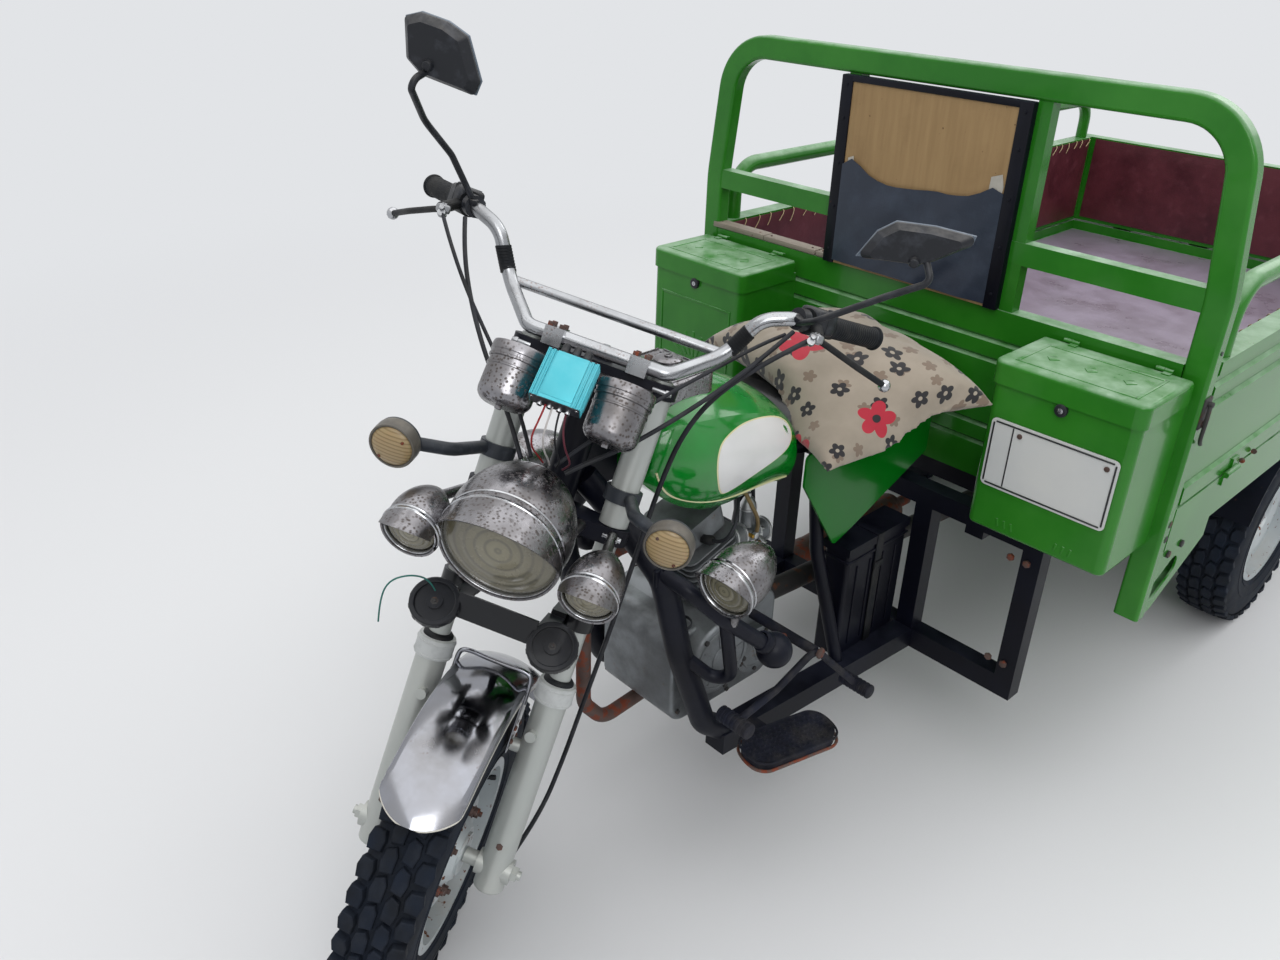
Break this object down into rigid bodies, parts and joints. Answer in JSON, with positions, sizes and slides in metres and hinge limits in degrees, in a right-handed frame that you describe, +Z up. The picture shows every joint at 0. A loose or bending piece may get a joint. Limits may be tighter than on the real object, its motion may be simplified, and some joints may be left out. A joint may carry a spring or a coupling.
{
  "type": "cargo motor tricycle",
  "caption": "Three-wheeled cargo motorcycle with an open drop-side load bed, front hoop, tool boxes, engine ahead of the seat and a turned front fork.",
  "frame": {"origin": "on the ground under the middle of the whole vehicle", "axes": "+X to the vehicle's left, -Y towards its front wheel, +Z up"},
  "size_m": [1.224, 3.41, 1.5184],
  "materials": {
    "bed_green": "dark green gloss enamel, dusty, chipped at the edges",
    "tank_green": "bright green enamel with a pale band and pinstripe",
    "frame_black": "blue-black enamel, dusty, chipped",
    "fork_silver": "grey silver paint, worn",
    "fork_chrome": "hard chrome",
    "bright_chrome": "polished chrome, stained",
    "pitted_chrome": "chrome with rust pits",
    "rim_silver": "silver paint with rust at the nuts",
    "tyre_rubber": "black rubber, dusty",
    "grip_rubber": "black rubber",
    "black_plastic": "moulded black plastic",
    "horn_black": "gloss black pressed steel and plastic",
    "amber_lens": "amber plastic, ribbed",
    "yellow_lens": "yellow pressed glass with rings",
    "amp_blue": "cyan enamel",
    "engine_grey": "cast aluminium, oily and dusty",
    "exhaust_steel": "rusty steel",
    "seat_vinyl": "black vinyl",
    "cushion_cloth": null,
    "pad_rubber": "dimpled rubber on a rusty rim",
    "spring_steel": "black paint over rust",
    "plywood": "bare plywood and dark tarpaulin",
    "plate_steel": "blank plate, faded paint",
    "lamp_red": "red and amber plastic"
  },
  "bodies": {
    "vehicle": {"battery_box": "frame_black", "bed_floor": "bed_green", "chassis": "frame_black", "crash_bars": "frame_black", "engine": "engine_grey", "exhaust": "exhaust_steel", "foot_controls": "pad_rubber", "front_hoop": "bed_green", "front_panel": "bed_green", "fuel_tank": "tank_green", "guard_lamps": "pitted_chrome", "guard_lenses": "yellow_lens", "leaf_springs": "spring_steel", "main_frame": "frame_black", "mudguards": "frame_black", "number_plate": "plate_steel", "rear_axle": "spring_steel", "seat": "seat_vinyl", "seat_cushion": "cushion_cloth", "side_covers": "tank_green", "tail_lamps": "lamp_red", "tank_console": "pitted_chrome", "tool_box_left": "bed_green", "tool_box_right": "bed_green", "window_panel": "plywood"},
    "steering": {"fork_bridges": "frame_black", "fork_stanchions": "fork_silver", "fork_legs": "fork_silver", "front_fender": "bright_chrome", "front_lamps": "pitted_chrome", "front_lenses": "yellow_lens", "indicators": "amber_lens", "horns": "horn_black", "instrument_pods": "pitted_chrome", "amplifier": "amp_blue", "handlebar": "fork_chrome", "hand_controls": "grip_rubber", "mirrors": "black_plastic", "control_cables": "black_plastic"},
    "front_wheel": {"front_tyre": "tyre_rubber", "front_rim": "rim_silver"},
    "rear_wheel_left": {"rear_tyre_left": "tyre_rubber", "rear_rim_left": "rim_silver"},
    "rear_wheel_right": {"rear_tyre_right": "tyre_rubber", "rear_rim_right": "rim_silver"},
    "drop_side_left": {"side_left": "bed_green"},
    "drop_side_right": {"side_right": "bed_green"},
    "tailgate": {"tailgate": "bed_green"},
    "lid_left": {"tool_lid_left": "bed_green"},
    "lid_right": {"tool_lid_right": "bed_green"}
  },
  "joints": [
    {"name": "steer", "type": "hinge", "parent": "vehicle", "child": "steering", "pos_m": [0, -1.06698, 1.04], "axis": [0, 0.4067, 0.9135], "range_deg": [-77, 7]},
    {"name": "front_wheel_spin", "type": "hinge", "parent": "steering", "child": "front_wheel", "pos_m": [0.02466, -1.4452, 0.27709], "axis": [0.8192, 0.524, -0.2333], "continuous": true},
    {"name": "rear_left_spin", "type": "hinge", "parent": "vehicle", "child": "rear_wheel_left", "pos_m": [0.5, 0.76302, 0.284], "axis": [1, 0, 0], "continuous": true},
    {"name": "rear_right_spin", "type": "hinge", "parent": "vehicle", "child": "rear_wheel_right", "pos_m": [-0.5, 0.76302, 0.284], "axis": [1, 0, 0], "continuous": true},
    {"name": "drop_left", "type": "hinge", "parent": "vehicle", "child": "drop_side_left", "pos_m": [0.606, 0.72802, 0.703], "axis": [0, 1, 0], "range_deg": [0, 180]},
    {"name": "drop_right", "type": "hinge", "parent": "vehicle", "child": "drop_side_right", "pos_m": [-0.606, 0.72802, 0.703], "axis": [0, -1, 0], "range_deg": [0, 180]},
    {"name": "tailgate_drop", "type": "hinge", "parent": "vehicle", "child": "tailgate", "pos_m": [0, 1.69902, 0.703], "axis": [-1, 0, 0], "range_deg": [0, 180]},
    {"name": "lid_left_open", "type": "hinge", "parent": "vehicle", "child": "lid_left", "pos_m": [0.441, -0.23498, 0.964], "axis": [-1, 0, 0], "range_deg": [0, 80]},
    {"name": "lid_right_open", "type": "hinge", "parent": "vehicle", "child": "lid_right", "pos_m": [-0.441, -0.23498, 0.964], "axis": [-1, 0, 0], "range_deg": [0, 80]}
  ]
}
